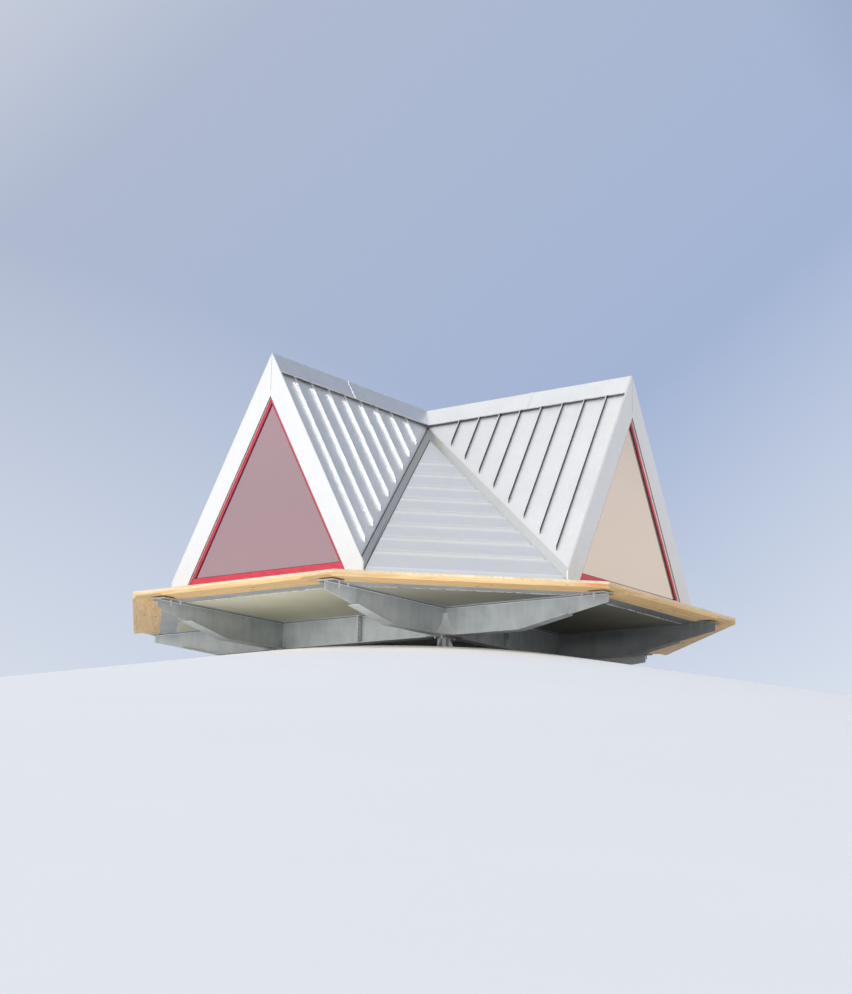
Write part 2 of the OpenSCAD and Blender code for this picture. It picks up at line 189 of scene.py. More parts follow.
def add_cone(shape, at, axis, radius, top_radius, length, sides):
    """A round or six sided bar from a point along an axis."""
    turn = Vector(axis).to_track_quat("Z", "Y").to_matrix().to_4x4()
    middle = Vector(at) + Vector(axis).normalized() * length / 2
    bmesh.ops.create_cone(shape, cap_ends=True, segments=sides, radius1=radius, radius2=top_radius,
                          depth=length, matrix=Matrix.Translation(middle) @ turn)


def add_bolt(shape, at, axis, size, stub=0.0):
    """A washer and a hexagon on a surface, with the thread's end showing past it where it has a stub."""
    at = Vector(at)
    axis = Vector(axis).normalized()
    across = size * 0.86
    washer = 0.0035
    height = size * 0.75
    add_cone(shape, at, axis, size * 1.02, size * 1.02, washer, 24)
    add_cone(shape, at + axis * washer, axis, across, across, height * 0.84, 6)
    chamfer = at + axis * (washer + height * 0.84)
    add_cone(shape, chamfer, axis, across, across * 0.84, height * 0.16, 6)
    if stub:
        thread = at + axis * (washer + height)
        add_cone(shape, thread, axis, size * 0.5, size * 0.5, stub * 0.85, 16)
        thread_end = at + axis * (washer + height + stub * 0.85)
        add_cone(shape, thread_end, axis, size * 0.5, size * 0.38, stub * 0.15, 16)


def make_piece(name, shape, material):
    """Turns finished geometry into a piece that belongs to the cabin."""
    mesh = bpy.data.meshes.new(name)
    bmesh.ops.recalc_face_normals(shape, faces=shape.faces)
    shape.to_mesh(mesh)
    shape.free()
    mesh.materials.append(material)
    piece = bpy.data.objects.new(name, mesh)
    bpy.context.scene.collection.objects.link(piece)
    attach(piece, "root")
    return piece


foot_zinc = galvanised("foot_zinc", (0.22, 0.23, 0.24), (0.30, 0.31, 0.32), (0.40, 0.41, 0.42))
bolt_zinc = galvanised("bolt_zinc", (0.56, 0.57, 0.58), (0.68, 0.69, 0.70), (0.78, 0.79, 0.80), 0.30)
paint_nodes(foot_zinc, "feet")

feet_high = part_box("feet")[1]
base_half = 0.23
crossing = feet_high.x - base_half
base_top = 0.020
anchor_at = 0.175
anchor_size = 0.024
anchor_stub = 0.028
cap_plate = 0.016
clamp_size = 0.020
clamp_stub = 0.014
clamp_along = 0.165
clamp_across = 0.062
seat_joint = 0.0005
girder_plate = 0.012
cap_under = feet_high.z - cap_plate
lower_flange_top = feet_high.z + seat_joint + girder_plate

fasteners = bmesh.new()
for east, north, a, b in product((-1, 1), repeat=4):
    anchor = (east * crossing + a * anchor_at, north * crossing + b * anchor_at, base_top)
    add_bolt(fasteners, anchor, (0, 0, 1), anchor_size, anchor_stub)
    clamp_x = east * crossing + a * clamp_across
    clamp_y = north * crossing + b * clamp_along
    add_bolt(fasteners, (clamp_x, clamp_y, lower_flange_top), (0, 0, 1), clamp_size)
    add_bolt(fasteners, (clamp_x, clamp_y, cap_under), (0, 0, -1), clamp_size, clamp_stub)
make_piece("foot_bolts", fasteners, bolt_zinc)


# Girders: four welded plate girders that cross like a # sign, each in two halves.
# They are hot dip galvanised, with the zinc's cloudy patches and runs. The flanges are welded to the
# webs, the halves are bolted together at their end plates, and threaded rods hold the deck at the tips.

def normal_of(material):
    return add_node(material, "NewGeometry").outputs["Normal"]


def parts_of(material, vector):
    """The X, Y and Z of a vector."""
    return add_node(material, "SeparateXYZ", {"Vector": vector}).outputs


def colour_of(material):
    """The colour that feeds a material's shader so far."""
    return shader_of(material).inputs["Base Color"].links[0].from_socket


girder_depth = 0.45
girder_taper = 1.53
girder_low, girder_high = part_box("girder_east")
girder_top = girder_low.z + girder_depth
girder_half = girder_high.y
tip_depth = 0.135
lower_flange_stop = 0.68

girder_zinc = galvanised("girder_zinc", (0.47, 0.51, 0.52), (0.58, 0.62, 0.63), (0.68, 0.71, 0.72))
# Painted shade: the undersides of the top flanges are painted dark.
height = parts_of(girder_zinc, place_of(girder_zinc))["Z"]
facing = parts_of(girder_zinc, normal_of(girder_zinc))["Z"]
upper_flange = work_out(girder_zinc, height, "GREATER_THAN", girder_top - 0.06)
underside = work_out(girder_zinc, facing, "LESS_THAN", -0.7)
painted_shade_under_top = work_out(girder_zinc, upper_flange, "MULTIPLY", underside)
finish_of(girder_zinc, mix_of(girder_zinc, painted_shade_under_top, colour_of(girder_zinc), (0.20, 0.22, 0.24)))
paint_nodes(girder_zinc, "girder_west", "girder_east", "cross_girder_south", "cross_girder_north")

# Painted light: the gussets and the weld beads get the girders' zinc painted much paler.
gusset_zinc_painted_light = galvanised("gusset_zinc_painted_light", (0.84, 0.84, 0.82), (0.90, 0.90, 0.88), (0.94, 0.94, 0.92))
paint_nodes(gusset_zinc_painted_light, "corner_gussets")


def make_on_girders(name, drawn, material):
    """Repeats what is drawn for one girder, along y and down from its top, on all four girders."""
    repeated = bmesh.new()
    for quarter, side in product((0, 1), (-1, 1)):
        turn = Matrix.Rotation(math.radians(90 * quarter), 4, "Z")
        mesh = bpy.data.meshes.new("drawn")
        drawn.to_mesh(mesh)
        mesh.transform(turn @ Matrix.Translation((side * crossing, 0, girder_top)))
        repeated.from_mesh(mesh)
        bpy.data.meshes.remove(mesh)
    drawn.free()
    make_piece(name, repeated, material)


def add_prism(shape, corners, start, end):
    """A bar from one point to another. Its section is a list of offsets from that line."""
    first = [shape.verts.new(Vector(start) + Vector(c)) for c in corners]
    last = [shape.verts.new(Vector(end) + Vector(c)) for c in corners]
    shape.faces.new(first)
    shape.faces.new(reversed(last))
    for i in range(len(corners)):
        j = (i + 1) % len(corners)
        shape.faces.new((first[i], last[i], last[j], first[j]))


splice_half = 0.02025
splice_size = 0.020
splice_stub = 0.012
splice_rows = 6
splice_across = 0.062
splice_inset = 0.055
splice = bmesh.new()
for row in range(splice_rows):
    level = -splice_inset - row * (girder_depth - 2 * splice_inset) / (splice_rows - 1)
    for across, along in product((-splice_across, splice_across), (-1, 1)):
        stub = splice_stub if along > 0 else 0
        add_bolt(splice, (across, along * splice_half, level), (0, along, 0), splice_size, stub)
make_on_girders("splice_bolts", splice, bolt_zinc)

deck_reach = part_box("deck_slab")[1].x
rim_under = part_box("rim_strip")[0].z - girder_top
rod_across = 0.125
rod_size = 0.020
rods_from_edge = [(0.38, -girder_plate, 0.075), (0.58, rim_under, 0.040)]
rods = bmesh.new()
for along, across in product((-1, 1), repeat=2):
    for from_edge, under, stub in rods_from_edge:
        seat = (across * rod_across, along * (deck_reach - from_edge), under)
        add_bolt(rods, seat, (0, 0, -1), rod_size, stub)
make_on_girders("tip_rods", rods, bolt_zinc)

weld = 0.008
weld_gap = 0.03
weld_end = 0.02
web_half = girder_plate / 2
taper_start = girder_half - girder_taper
stop = girder_half - lower_flange_stop
stop_rise = (stop - taper_start) * (girder_depth - tip_depth) / girder_taper
flange_under = -girder_plate
flange_over = girder_plate - girder_depth
runs = [((splice_half, flange_under), (crossing - weld_gap, flange_under), -1),
        ((crossing + weld_gap, flange_under), (girder_half - weld_end, flange_under), -1),
        ((splice_half, flange_over), (crossing - weld_gap, flange_over), 1),
        ((crossing + weld_gap, flange_over), (taper_start, flange_over), 1),
        ((taper_start, flange_over), (stop, flange_over + stop_rise), 1)]
welds = bmesh.new()
for across, along in product((-1, 1), repeat=2):
    for (y0, z0), (y1, z1), up in runs:
        corners = [(0, 0, 0), (across * weld, 0, 0), (0, 0, up * weld)]
        start = (across * web_half, along * y0, z0)
        end = (across * web_half, along * y1, z1)
        add_prism(welds, corners, start, end)
make_on_girders("weld_beads", welds, gusset_zinc_painted_light)


# Soffit: coated boards under the deck, khaki and nearly smooth, inside a galvanised strip.
# The strip is nailed up, and a ragged line of pale sealant covers its inner edge.

soffit_paint = new_material("soffit_paint", roughness=0.62)
place = place_of(soffit_paint)
clouds = noise_of(soffit_paint, place, 0.8, detail=5)
specks = noise_of(soffit_paint, place, 45, detail=3)
speckle = ramp_of(soffit_paint, specks, [(0.35, 0.2), (0.65, 0.8)])
shade = ramp_of(soffit_paint, clouds, [(0.3, (0.72, 0.69, 0.53)), (0.7, (0.80, 0.77, 0.61))])
shade = mix_of(soffit_paint, 0.08, shade, speckle, "SOFT_LIGHT")
# Painted shade: the soffit is darkened towards the east.
soffit_shade_painted = painted_shade_along(soffit_paint, place, (0.90, 0.44, 0), -1.6, 2.2, 0.24)
finish_of(soffit_paint, mix_of(soffit_paint, 1.0, shade, soffit_shade_painted, "MULTIPLY"), None, specks, 0.0005)
paint_nodes(soffit_paint, "soffit")

strip_zinc = galvanised("strip_zinc", (0.38, 0.40, 0.41), (0.46, 0.48, 0.49), (0.54, 0.56, 0.57))
paint_nodes(strip_zinc, "rim_strip")

soffit_low, soffit_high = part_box("soffit")
strip_inner = soffit_high.x
strip_face = soffit_low.z
eighth = math.radians(45)
sealant_step = 0.02
sealant_keep_out = 0.13
sealant_edge = 0.008
sealant_lap = 0.0002

sealant = bmesh.new()
for side in range(8):
    turn = Matrix.Rotation(eighth * side, 3, "Z")
    half = strip_inner * math.tan(eighth / 2)
    last = None
    for i in range(int(2 * half / sealant_step) + 1):
        along = -half + i * sealant_step
        middle = turn @ Vector((strip_inner, along, 0))
        if min(abs(abs(middle.x) - crossing), abs(abs(middle.y) - crossing)) < sealant_keep_out:
            last = None
            continue
        swell = noise.noise(Vector((middle.x * 2.6, middle.y * 2.6, side)))
        ragged = noise.noise(Vector((middle.x * 17, middle.y * 17, side + 9.5)))
        inward = sealant_edge + max(0, 0.055 * swell + 0.030 * ragged)
        outward = sealant_edge + max(0, 0.055 * ragged)
        ring = []
        for out, drop in ((outward, 0), (outward * 0.5, -0.003), (-inward * 0.5, -0.004), (-inward, 0)):
            at = Vector((strip_inner + out, along, strip_face - sealant_lap + drop))
            ring.append(sealant.verts.new(turn @ at))
        if last:
            for k in range(3):
                sealant.faces.new((last[k], last[k + 1], ring[k + 1], ring[k]))
            sealant.faces.new((last[3], last[0], ring[0], ring[3]))
        else:
            sealant.faces.new(ring)
        last = ring

mastic = new_material("mastic", roughness=0.7)
patches = noise_of(mastic, place_of(mastic), 9, detail=5, roughness=0.7)
mastic_shades = [(0.40, (0.20, 0.22, 0.24)), (0.47, (0.80, 0.80, 0.76)), (0.7, (0.92, 0.91, 0.86))]
finish_of(mastic, ramp_of(mastic, patches, mastic_shades), None, patches, 0.003)
make_piece("sealant_line", sealant, mastic)


# Edge boards: sawn pine boards under the rim of the deck, mitred at the eight corners.
# The wood is bright and untreated, with a rust stain near one corner. Two rows of nails hold it.

def along_sides(material):
    """Places turned so that x runs out from the middle and y along the nearest side of the octagon."""
    place = plain_place(material)
    parts = parts_of(material, place)
    angle = work_out(material, parts["Y"], "ARCTAN2", parts["X"])
    count = work_out(material, work_out(material, angle, "DIVIDE", eighth), "ROUND")
    turn = {"Vector": place, "Angle": work_out(material, count, "MULTIPLY", -eighth)}
    return add_node(material, "VectorRotate", turn, rotation_type="Z_AXIS").outputs["Vector"]


def pine(material, place, dark, mid, light, grain=(26, 1.3, 26)):
    """Softwood: long grain with growth rings, a few knots, and fine fibres in the bump."""
    stretched = scaled(material, place, grain)
    streaks = noise_of(material, stretched, 1.0, detail=6, roughness=0.6, distortion=0.8)
    fibres = noise_of(material, stretched, 7.0, detail=3)
    knots = {"Vector": scaled(material, place, (3.2, 1.4, 3.2)), "Scale": 1.1, "Randomness": 1.0}
    spots = add_node(material, "TexVoronoi", knots).outputs["Distance"]
    knot_shades = [(0.030, (0.30, 0.15, 0.07)), (0.055, (0.80, 0.62, 0.45)), (0.09, (1.0, 1.0, 1.0))]
    shade = ramp_of(material, streaks, [(0.30, dark), (0.48, mid), (0.68, light)])
    shade = mix_of(material, 0.16, shade, ramp_of(material, fibres, [(0.3, 0.1), (0.7, 0.9)]), "SOFT_LIGHT")
    shade = mix_of(material, 1.0, shade, ramp_of(material, spots, knot_shades), "MULTIPLY")
    return shade, streaks, fibres


edge_pine = new_material("edge_pine", roughness=0.6)
place = along_sides(edge_pine)
shade, streaks, fibres = pine(edge_pine, place, (0.74, 0.42, 0.17), (0.86, 0.57, 0.26), (0.93, 0.69, 0.38))
stain_at = (4.80, -2.20, 0.74)
away = work_out_vector(edge_pine, place_of(edge_pine), "DISTANCE", stain_at)
blotch = work_out(edge_pine, away, "ADD", work_out(edge_pine, streaks, "MULTIPLY", 0.45))
rust = work_out(edge_pine, ramp_of(edge_pine, blotch, [(0.25, 1.0), (0.60, 0.0)]), "MULTIPLY", 0.55)
finish_of(edge_pine, mix_of(edge_pine, rust, shade, (0.72, 0.20, 0.07)), None, fibres, 0.0006)
paint_nodes(edge_pine, "edge_boards")

nail_steel = new_material("nail_steel", metallic=0.8, roughness=0.45)
tarnish = noise_of(nail_steel, place_of(nail_steel), 40)
finish_of(nail_steel, ramp_of(nail_steel, tarnish, [(0.3, 0.10), (0.7, 0.24)]))

edge_low, edge_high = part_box("edge_boards")
nail_rows = [0.06, 0.36]
nail_step = 0.40
nail_end = 0.12
nail_keep_out = 0.33
nails = bmesh.new()
for side, from_edge in product(range(8), nail_rows):
    turn = Matrix.Rotation(eighth * side, 3, "Z")
    out = edge_high.x - from_edge
    half = out * math.tan(eighth / 2) - nail_end
    count = round(2 * half / nail_step)
    for i in range(count + 1):
        at = turn @ Vector((out, -half + i * 2 * half / count, edge_low.z))
        if min(abs(abs(at.x) - crossing), abs(abs(at.y) - crossing)) > nail_keep_out:
            add_cone(nails, at, (0, 0, -1), 0.006, 0.005, 0.0015, 12)
make_piece("edge_nails", nails, nail_steel)


# Deck: cross laminated pine, with its top boards running east to west.
# The boards meet at fine joints with eased edges, and each board has its own tone of wood.

deck_low, deck_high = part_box("deck_slab")
board_w = 0.20
board_gap = 0.003
board_ease = 0.003
top_layer = 0.0395
core_layer = 0.060
core_reach = edge_high.x - 0.4505
core_inset = 0.010


def clip(points, normal, limit):
    """The part of a convex outline that lies behind a line."""
    kept = []
    for i, here in enumerate(points):
        there = points[(i + 1) % len(points)]
        a = here.dot(normal) - limit
        b = there.dot(normal) - limit
        if a <= 0:
            kept.append(here)
        if (a < 0 < b) or (b < 0 < a):
            kept.append(here.lerp(there, a / (a - b)))
    return kept


def octagon(apothem):
    corner = apothem / math.cos(eighth / 2)
    angles = [eighth * (i + 0.5) for i in range(8)]
    return [Vector((corner * math.cos(angle), corner * math.sin(angle))) for angle in angles]


def add_slab(shape, outline, low, high, ease=0.0):
    """A flat piece with a given outline, with its upper edges eased."""
    inner = []
    middle = sum(outline, Vector((0, 0))) / len(outline)
    for i, here in enumerate(outline):
        before = (here - outline[i - 1]).normalized()
        after = (outline[(i + 1) % len(outline)] - here).normalized()
        out = Vector((before.y + after.y, -before.x - after.x)).normalized()
        if out.dot(here - middle) < 0:
            out = -out
        widen = max(0.35, out.dot(Vector((before.y, -before.x))))
        inner.append(here - out * ease / abs(widen))
    rings = [[shape.verts.new((p.x, p.y, low)) for p in outline],
             [shape.verts.new((p.x, p.y, high - ease)) for p in outline]]
    if ease:
        rings.append([shape.verts.new((p.x, p.y, high)) for p in inner])
    shape.faces.new(rings[0])
    shape.faces.new(rings[-1])
    for lower, upper in zip(rings, rings[1:]):
        for i in range(len(outline)):
            j = (i + 1) % len(outline)
            shape.faces.new((lower[i], lower[j], upper[j], upper[i]))


deck = bmesh.new()
add_slab(deck, octagon(core_reach), deck_low.z, deck_low.z + core_layer)
add_slab(deck, octagon(deck_high.x - core_inset), deck_high.z - top_layer, deck_high.z - core_inset)
count = math.ceil(2 * deck_high.x / board_w)
for i in range(count):
    low = -count * board_w / 2 + i * board_w + board_gap / 2
    board = clip(octagon(deck_high.x), Vector((0, 1)), low + board_w - board_gap)
    board = clip(board, Vector((0, -1)), -low)
    if len(board) > 2:
        add_slab(deck, board, deck_high.z - top_layer, deck_high.z, board_ease)

deck_pine = new_material("deck_pine", roughness=0.62)
place = plain_place(deck_pine)
row = work_out(deck_pine, work_out(deck_pine, parts_of(deck_pine, place)["Y"], "DIVIDE", board_w), "FLOOR")
shift = add_node(deck_pine, "TexWhiteNoise", {"W": row}, noise_dimensions="1D").outputs
moved = work_out_vector(deck_pine, place, "ADD", shift["Color"])
moved = work_out_vector(deck_pine, moved, "ADD", shift["Color"])
shade, _, fibres = pine(deck_pine, moved, (0.78, 0.58, 0.34), (0.90, 0.75, 0.50), (0.94, 0.83, 0.62),
                        grain=(1.3, 26, 26))
tone = ramp_of(deck_pine, shift["Value"], [(0.0, (0.90, 0.88, 0.86)), (1.0, (1.0, 1.0, 1.0))])
finish_of(deck_pine, mix_of(deck_pine, 1.0, shade, tone, "MULTIPLY"), None, fibres, 0.0008)
deck_boards = make_piece("deck_boards", deck, deck_pine)
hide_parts("deck_slab")


# Floor: planed spruce boards on a raised base inside the walls, seen through the glass.
# They are oiled, and run from south to north in every hall.

plank_w = 0.14
floor_spruce = new_material("floor_spruce", roughness=0.45)
place = plain_place(floor_spruce)
plank = work_out(floor_spruce, parts_of(floor_spruce, place)["X"], "DIVIDE", plank_w)
row = work_out(floor_spruce, plank, "FLOOR")
shift = add_node(floor_spruce, "TexWhiteNoise", {"W": row}, noise_dimensions="1D").outputs
moved = work_out_vector(floor_spruce, place, "ADD", shift["Color"])
shade = pine(floor_spruce, moved, (0.42, 0.27, 0.14), (0.55, 0.38, 0.21), (0.64, 0.47, 0.29))[0]
groove = ramp_of(floor_spruce, work_out(floor_spruce, plank, "FRACT"), [(0.0, 0.25), (0.03, 1.0)])
finish_of(floor_spruce, mix_of(floor_spruce, 1.0, shade, groove, "MULTIPLY"), None, groove, 0.002)
paint_nodes(floor_spruce, "floor")


# Roof panels: insulated timber panels that meet in the ridges and the valleys.
# They are lined with spruce boards, which show through the glass.

SIDES = ["south", "east", "north", "west"]
CORNERS = ["southeast", "northeast", "northwest", "southwest"]
lining_spruce = new_material("lining_spruce", roughness=0.6)
place = plain_place(lining_spruce)
shade, _, fibres = pine(lining_spruce, place, (0.50, 0.33, 0.18), (0.62, 0.45, 0.27), (0.70, 0.54, 0.35),
                        grain=(9, 9, 26))
finish_of(lining_spruce, shade, None, fibres, 0.0006)
paint_nodes(lining_spruce, *[f"arm_panels_{side}" for side in SIDES])
paint_nodes(lining_spruce, *[f"infill_panel_{corner}" for corner in CORNERS])


# Roof sheets: coated steel pans with folded standing seams, laid over felt.
# The coating is a satin silver grey. Each pan is a little wavy between its seams and keeps faint
# streaks of weather down the slope.

def roof_metal(name, base, metallic=0.70, gloss=0.42, waves=(1.6, 1.6, 1.6)):
    sheet = new_material(name, metallic=metallic)
    place = place_of(sheet)
    clouds = noise_of(sheet, place, 1.1, detail=4)
    streaks = noise_of(sheet, place_of(sheet, (14, 14, 0.8)), 1.0, detail=5)
    darker = tuple(c * 0.955 for c in base)
    lighter = tuple(min(1, c * 1.03) for c in base)
    weather = weighed(sheet, clouds, 0.6, streaks)
    shade = ramp_of(sheet, weather, [(0.35, darker), (0.5, base), (0.65, lighter)])
    rough = ramp_of(sheet, streaks, [(0.3, gloss), (0.7, gloss + 0.06)])
    wave = noise_of(sheet, place_of(sheet, waves), 1.0, detail=1)
    grain = work_out(sheet, noise_of(sheet, place, 320, detail=2), "MULTIPLY", 0.03)
    return finish_of(sheet, shade, rough, work_out(sheet, wave, "ADD", grain), 0.0022)


# The upright sides of the seams on the east and west halls are painted dark: painted shade.
arm_steel = roof_metal("arm_steel", (0.80, 0.805, 0.81))
facing = work_out_vector(arm_steel, normal_of(arm_steel), "ABSOLUTE")
painted_shade_seam_sides = ramp_of(arm_steel, parts_of(arm_steel, facing)["X"], [(0.95, 0.0), (0.98, 1.0)])
finish_of(arm_steel, mix_of(arm_steel, painted_shade_seam_sides, colour_of(arm_steel), (0.11, 0.115, 0.12)))
paint_nodes(arm_steel, *[f"arm_sheets_{side}" for side in SIDES])

# The seams of the infills run across the fall. The pans are painted darker and bluer than the arms' sheets,
# a painted shade, and each seam and the pan just below it are painted paler, a painted highlight.
infill_steel = roof_metal("infill_steel", (0.71, 0.725, 0.75), metallic=0.5, gloss=0.38)
down_fall = (math.sqrt(0.5), math.sqrt(0.5), 0)
top_seam_reach = 1.147
seam_step = 0.3729
one_corner = work_out_vector(infill_steel, place_of(infill_steel), "ABSOLUTE")
reach = work_out_vector(infill_steel, one_corner, "DOT_PRODUCT", down_fall)
past_first = work_out(infill_steel, reach, "SUBTRACT", top_seam_reach)
past_seam = work_out(infill_steel, past_first, "MODULO", seam_step)
band = ramp_of(infill_steel, past_seam, [(0.0, 0.95), (0.03, 0.75), (0.085, 0.0)])
band = work_out(infill_steel, band, "MULTIPLY", work_out(infill_steel, past_first, "GREATER_THAN", 0.0))
finish_of(infill_steel, mix_of(infill_steel, band, colour_of(infill_steel), (0.88, 0.88, 0.865)))
paint_nodes(infill_steel, *[f"infill_sheet_{corner}" for corner in CORNERS])

# The flashings on the south and north halls are painted darker, a painted shade, and one has an ochre stain
# at its top.
flashing_steel = roof_metal("flashing_steel", (0.70, 0.70, 0.69), metallic=0.80, gloss=0.32)
stain_at = (0.54, -0.48, 3.90)
place = place_of(flashing_steel)
away = work_out_vector(flashing_steel, place, "DISTANCE", stain_at)
fray = work_out(flashing_steel, noise_of(flashing_steel, place, 16), "MULTIPLY", 0.20)
ochre = ramp_of(flashing_steel, work_out(flashing_steel, away, "ADD", fray), [(0.16, 0.8), (0.34, 0.0)])
shade = mix_of(flashing_steel, ochre, colour_of(flashing_steel), (0.72, 0.56, 0.32))
parts = parts_of(flashing_steel, work_out_vector(flashing_steel, place, "ABSOLUTE"))
painted_shade_south_north = work_out(flashing_steel, parts["Y"], "GREATER_THAN", parts["X"])
finish_of(flashing_steel, mix_of(flashing_steel, painted_shade_south_north, shade, (0.46, 0.47, 0.48)))
paint_nodes(flashing_steel, "valley_flashings")

# This dark material serves the dark joints, and also the painted shade of the hem cords.
dark_sealant_and_shade = new_material("dark_sealant_and_shade", roughness=0.55)
lumps = noise_of(dark_sealant_and_shade, place_of(dark_sealant_and_shade), 22, detail=4)
finish_of(dark_sealant_and_shade, ramp_of(dark_sealant_and_shade, lumps, [(0.35, 0.05), (0.65, 0.13)]), None, lumps, 0.002)


def loose_parts(mesh):
    """The corners of each part of a mesh that hangs together.
    The frame's meshes are split along their sharp edges, so their parts are faces and not solids."""
    whole = bmesh.new()
    whole.from_mesh(mesh)
    # The parts and their corners go by number, so they come in the same order in every run.
    left = dict.fromkeys(whole.verts)
    parts = []
    while left:
        reached = [left.popitem()[0]]
        for corner in reached:
            for edge in corner.link_edges:
                other = edge.other_vert(corner)
                if other in left:
                    del left[other]
                    reached.append(other)
        reached.sort(key=lambda corner: corner.index)
        parts.append([corner.co.copy() for corner in reached])
    whole.free()
    return parts


pane_low, pane_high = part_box("window_pane_south")
roof_slope = math.atan((pane_high.z - pane_low.z) / pane_high.x)
shade_cord_radius = 0.007
hem_depth = 0.002
shade_cords = bmesh.new()
# Painted shade: the dark cords on the flashings of the south and north halls lie where the hems cast their
# shadow.
# Each face gets a cord between the lowest and the highest of its corners that stand farthest out.
# They lie along the hem, along the valley and under the strip. At the ends they have hardly a length.
for corners in loose_parts(nodes["valley_flashings"].data):
    middle = sum(corners, Vector()) / len(corners)
    if abs(middle.x) < abs(middle.y):
        normal = Vector((math.copysign(math.sin(roof_slope), middle.x), 0, math.cos(roof_slope)))
        top = max(c.dot(normal) for c in corners)
        hem = [c for c in corners if c.dot(normal) > top - hem_depth]
        low = min(hem, key=lambda c: c.z)
        high = max(hem, key=lambda c: c.z)
        add_cone(shade_cords, low, high - low, shade_cord_radius, shade_cord_radius, (high - low).length, 10)
make_piece("hem_shade_cords", shade_cords, dark_sealant_and_shade)


# Ridge capping: folded lengths of the same coated steel, with turned down edges over the seam ends.
# A strap covers each joint, held by blind rivets along both of its edges.

def quarter_turns():
    """The turns that carry what is drawn for the south arm to each of the four arms."""
    return [Matrix.Rotation(math.radians(90 * quarter), 3, "Z") for quarter in range(4)]


def down_slope(hand):
    """The way down a roof slope, square to the ridge. The hand is -1 on the left and 1 on the right."""
    return Vector((hand * math.cos(roof_slope), 0, -math.sin(roof_slope)))


def off_slope(hand):
    """The way out from a roof slope, square to its sheets."""
    return Vector((hand * math.sin(roof_slope), 0, math.cos(roof_slope)))


cap_steel = roof_metal("cap_steel", (0.84, 0.845, 0.85), metallic=0.68, gloss=0.34, waves=(0.9, 0.9, 0.9))
paint_nodes(cap_steel, *[f"ridge_cap_{side}" for side in SIDES])

strap_joint = 2.17
strap_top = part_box("ridge_cap_south")[1].z
rivet_lines = (-0.017, 0.017)
rivet_places = (0.12, 0.21, 0.295)
rivets = bmesh.new()
for turn, hand, line, down in product(quarter_turns(), (-1, 1), rivet_lines, rivet_places):
    at = Vector((0, -strap_joint + line, strap_top)) + down_slope(hand) * down
    add_cone(rivets, turn @ at, turn @ off_slope(hand), 0.0045, 0.003, 0.002, 12)
make_piece("strap_rivets", rivets, cap_steel)


# Gable boards: white coated boards that cover the cut ends of the roof panels, with a sill board
# under each window. They are screwed on from the front, and the screw heads are touched in.

board_white = new_material("board_white", roughness=0.42)
place = place_of(board_white)
clouds = noise_of(board_white, place, 1.7, detail=5)
runs = noise_of(board_white, place_of(board_white, (18, 18, 1.2)), 1.0, detail=5)
whites = [(0.36, 0.83), (0.5, 0.85), (0.66, 0.86)]
# Painted shade: the faces that look upwards, the boards' top edges, are painted grey.
facing = parts_of(board_white, normal_of(board_white))["Z"]
painted_shade_top = ramp_of(board_white, facing, [(0.25, 0.0), (0.35, 1.0)])
shade = ramp_of(board_white, weighed(board_white, clouds, 0.5, runs), whites)
shade = mix_of(board_white, painted_shade_top, shade, (0.60, 0.605, 0.61))
finish_of(board_white, shade, None, noise_of(board_white, place, 160, detail=2), 0.0003)
paint_nodes(board_white, *[f"gable_boards_{side}" for side in SIDES])

gable_low, gable_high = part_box("gable_boards_south")
board_face = gable_low.y
board_tip = Vector((0, board_face, gable_high.z))
screw_count = 8
screw_first = 0.45
screw_step = 0.42
screw_insets = (0.045, 0.215)
screws = bmesh.new()
for turn, hand, inset, i in product(quarter_turns(), (-1, 1), screw_insets, range(screw_count)):
    at = board_tip - off_slope(hand) * inset + down_slope(hand) * (screw_first + i * screw_step)
    add_cone(screws, turn @ at, turn @ Vector((0, -1, 0)), 0.006, 0.0045, 0.0015, 12)
make_piece("board_screws", screws, board_white)

board_wide = 0.30
apex_joint = 0.005
joint_proud = 0.0006
joint_end = 0.02
lines = bmesh.new()
for turn in quarter_turns():
    section = [(-apex_joint / 2, 0, 0), (apex_joint / 2, 0, 0), (0, -joint_proud, 0)]
    foot = board_tip - Vector((0, 0, board_wide / math.cos(roof_slope) - joint_end))
    tip = board_tip - Vector((0, 0, joint_end))
    add_prism(lines, [turn @ Vector(c) for c in section], turn @ foot, turn @ tip)
make_piece("apex_joints", lines, dark_sealant_and_shade)


# Windows: red lacquered frames round one triangular pane each, fixed and never opened.
# Black rubber gaskets press the glass against the rebate, and a pale bead seals frame to board.

frame_red = new_material("frame_red", roughness=0.30)
place = place_of(frame_red)
wear = noise_of(frame_red, place, 6, detail=5)
shade = ramp_of(frame_red, wear, [(0.3, (0.66, 0.035, 0.070)), (0.6, (0.76, 0.050, 0.095))])
finish_of(frame_red, shade, None, noise_of(frame_red, place, 220, detail=2), 0.0002)
paint_nodes(frame_red, *[f"window_frame_{side}" for side in SIDES])

# Painted reflection: the panes of the south and north and those of the east and west get different tints for
# what each side reflects.
rosy_painted_reflection = (0.66, 0.46, 0.48, 1)
glass = new_material("glass", metallic=0.75, roughness=0.03, alpha=0.90, base_color=rosy_painted_reflection)
paint_nodes(glass, "window_pane_south", "window_pane_north")

sandy_painted_reflection = (0.78, 0.67, 0.61, 1)
glass_east_west = new_material("glass_east_west", metallic=0.75, roughness=0.03, alpha=0.90, base_color=sandy_painted_reflection)
paint_nodes(glass_east_west, "window_pane_east", "window_pane_west")


def triangle(inset):
    """The pane's outline drawn in by an inset: left foot, right foot and apex, as x and z."""
    base = pane_low.z + inset
    apex = pane_high.z - inset / math.cos(roof_slope)
    half = (apex - base) / math.tan(roof_slope)
    return [Vector((-half, base)), Vector((half, base)), Vector((0, apex))]


